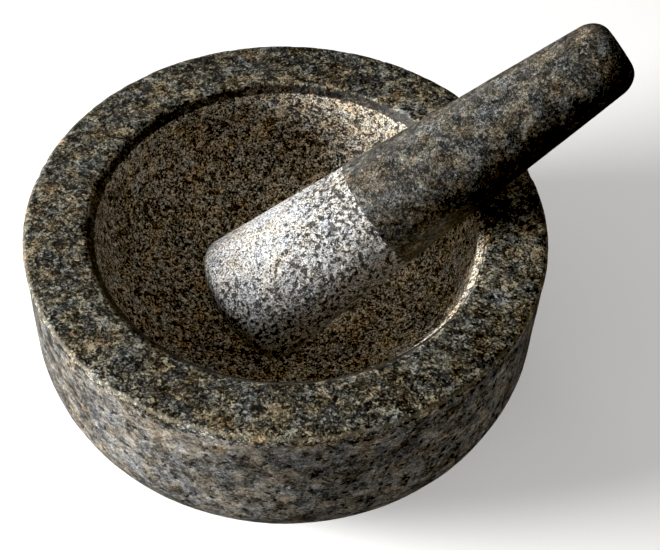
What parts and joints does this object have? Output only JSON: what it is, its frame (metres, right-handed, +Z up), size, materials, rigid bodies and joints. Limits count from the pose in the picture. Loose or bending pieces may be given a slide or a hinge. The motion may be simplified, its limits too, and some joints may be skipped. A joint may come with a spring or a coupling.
{
  "type": "molcajete",
  "caption": "Low, thick-walled round granite mortar with a flat rim and a rounded foot, and a long tapered granite pestle lying in the bowl.",
  "frame": {"origin": "centre of the mortar's flat base, where it meets the surface it stands on", "axes": "+Z up along the mortar's own axis; the pestle leans towards +X, turned 19.5 degrees towards +Y; -Y is the side that faces the viewer"},
  "size_m": [0.2284, 0.2, 0.1523],
  "materials": {
    "mortar_granite": "honed rim and wall, rougher ground bowl, black, ochre and grey speckle",
    "pestle_granite": "polished shaft, pale rough-honed grinding head, black, ochre and grey speckle"
  },
  "bodies": {
    "mortar": {"mortar": "mortar_granite"},
    "pestle": {"pestle": "pestle_granite"}
  },
  "joints": [
    {"name": "pestle_lift", "type": "slide", "parent": "mortar", "child": "pestle", "axis": [0, 0, 1], "range_m": [0, 0.12]}
  ]
}
